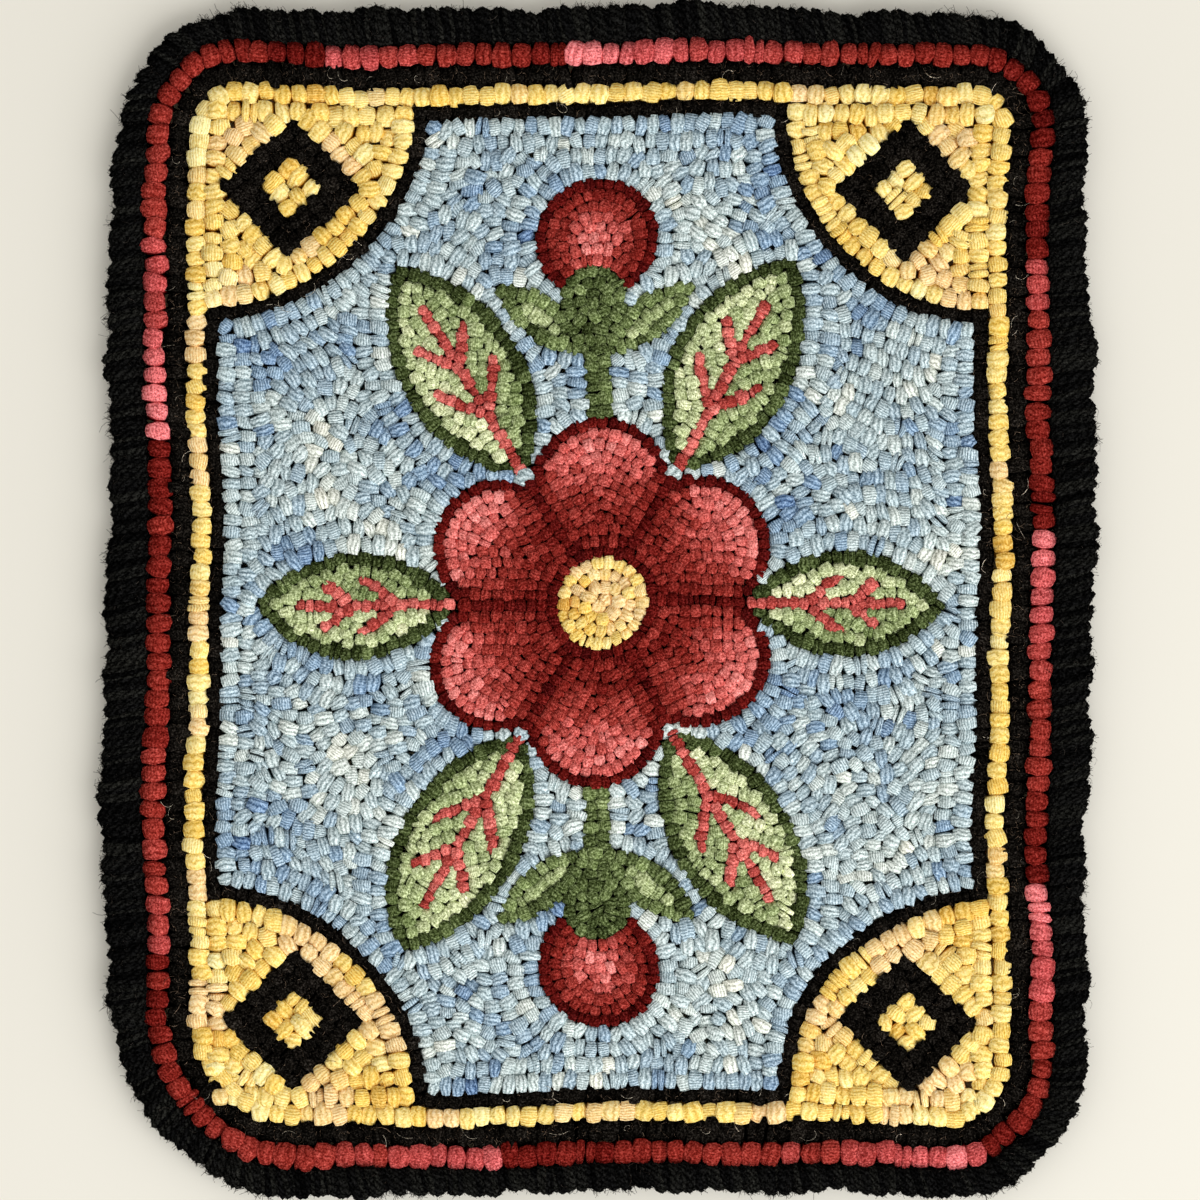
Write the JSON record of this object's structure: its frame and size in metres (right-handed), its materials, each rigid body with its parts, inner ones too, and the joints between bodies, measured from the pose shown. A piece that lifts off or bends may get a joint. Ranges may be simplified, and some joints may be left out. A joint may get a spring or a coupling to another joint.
{
  "type": "hooked rug",
  "caption": "Small hooked rug of looped wool strips on linen, with plain border rows, quarter-round corners and a whipped yarn edge.",
  "frame": {"origin": "centre of the underside, on the surface that the rug lies on", "axes": "+X across the rug to its right, +Y up the rug along its longest side, +Z out of the pile"},
  "size_m": [0.2554, 0.3058, 0.009],
  "materials": {
    "linen": "natural linen, even plain weave",
    "black_yarn": "plied wool yarn, matt and a little fuzzy",
    "red_wool": "fulled wool strips, dip dyed from dark red to pink",
    "black_wool": "fulled wool strips, matt black",
    "yellow_wool": "fulled wool strips, spot dyed butter to gold",
    "blue_wool": "fulled wool strips, spot dyed grey blue",
    "green_wool": "fulled wool strips, spot dyed leaf green"
  },
  "bodies": {
    "root": {"linen_foundation": "linen", "whipped_edge": "black_yarn", "red_row": "red_wool", "black_row": "black_wool", "yellow_border": "yellow_wool", "inner_black_row": "black_wool", "blue_ground": "blue_wool"}
  },
  "joints": []
}
